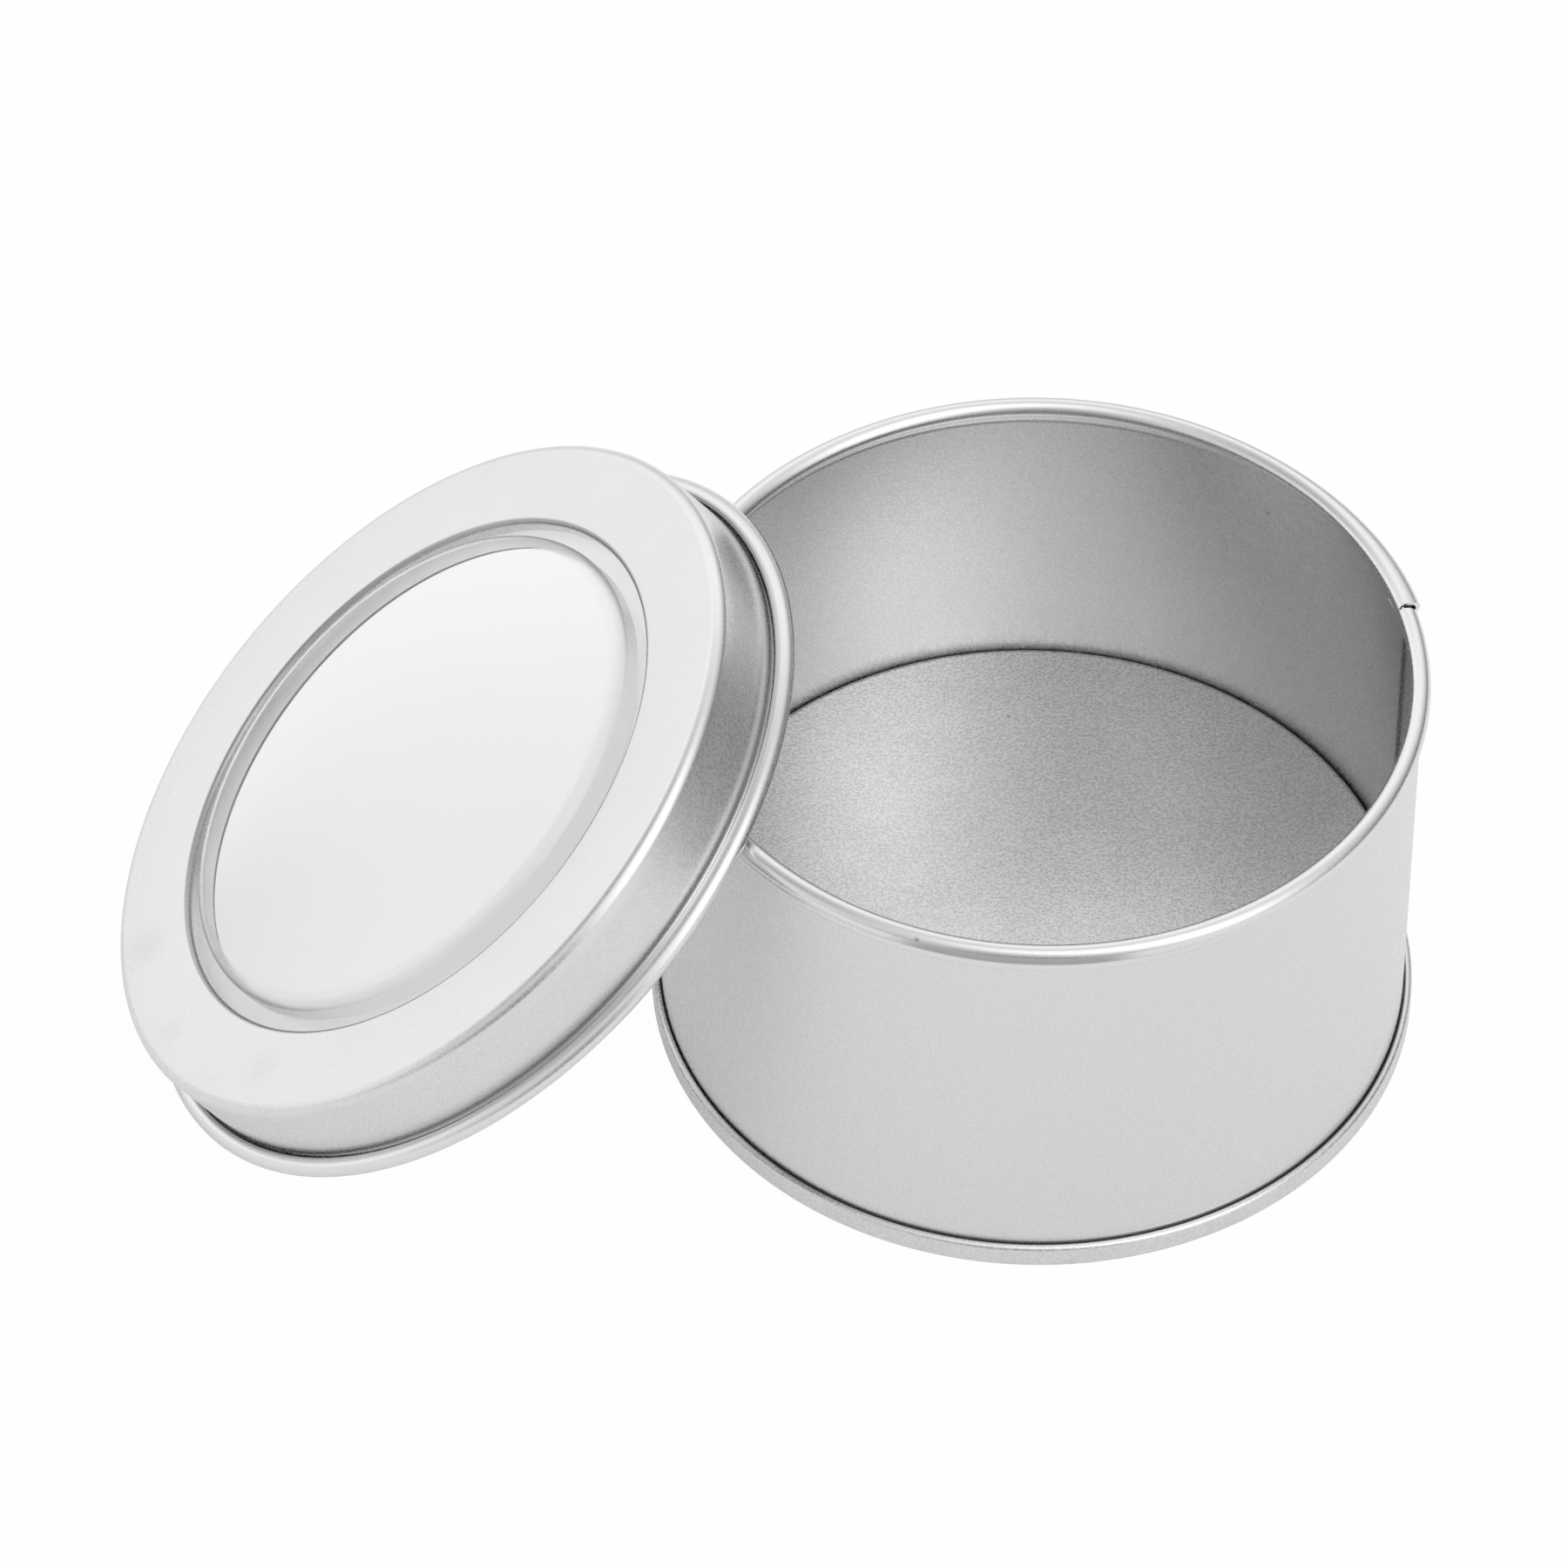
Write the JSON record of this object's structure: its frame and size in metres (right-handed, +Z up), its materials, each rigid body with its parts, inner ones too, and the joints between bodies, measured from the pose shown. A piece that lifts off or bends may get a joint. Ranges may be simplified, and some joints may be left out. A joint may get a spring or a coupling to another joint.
{
  "type": "window lid tin",
  "caption": "Round slip-lid tin of bare tinplate with a rolled rim and seamed base, open, its lid with a clear round window leaning on the rim.",
  "frame": {"origin": "bottom centre of the box round tin and leaning lid, on the table; the tin's axis stands at X = +0.0231 m", "axes": "+Z up along the tin's axis; the lid lies towards -X and the side seam faces about +X"},
  "size_m": [0.1128, 0.0706, 0.0492],
  "materials": {
    "tin_wall": "satin silver lacquer",
    "tin_bottom": "satin silver lacquer",
    "tin_lid": "satin silver lacquer",
    "clear_window": "clear, glossy"
  },
  "bodies": {
    "tin": {"body_wall": "tin_wall", "bottom_end": "tin_bottom"},
    "lid": {"lid_shell": "tin_lid", "window_pane": "clear_window"}
  },
  "joints": [
    {"name": "lid_lift", "type": "slide", "parent": "tin", "child": "lid", "axis": [0, 0, 1], "range_m": [0, 0.06]}
  ]
}
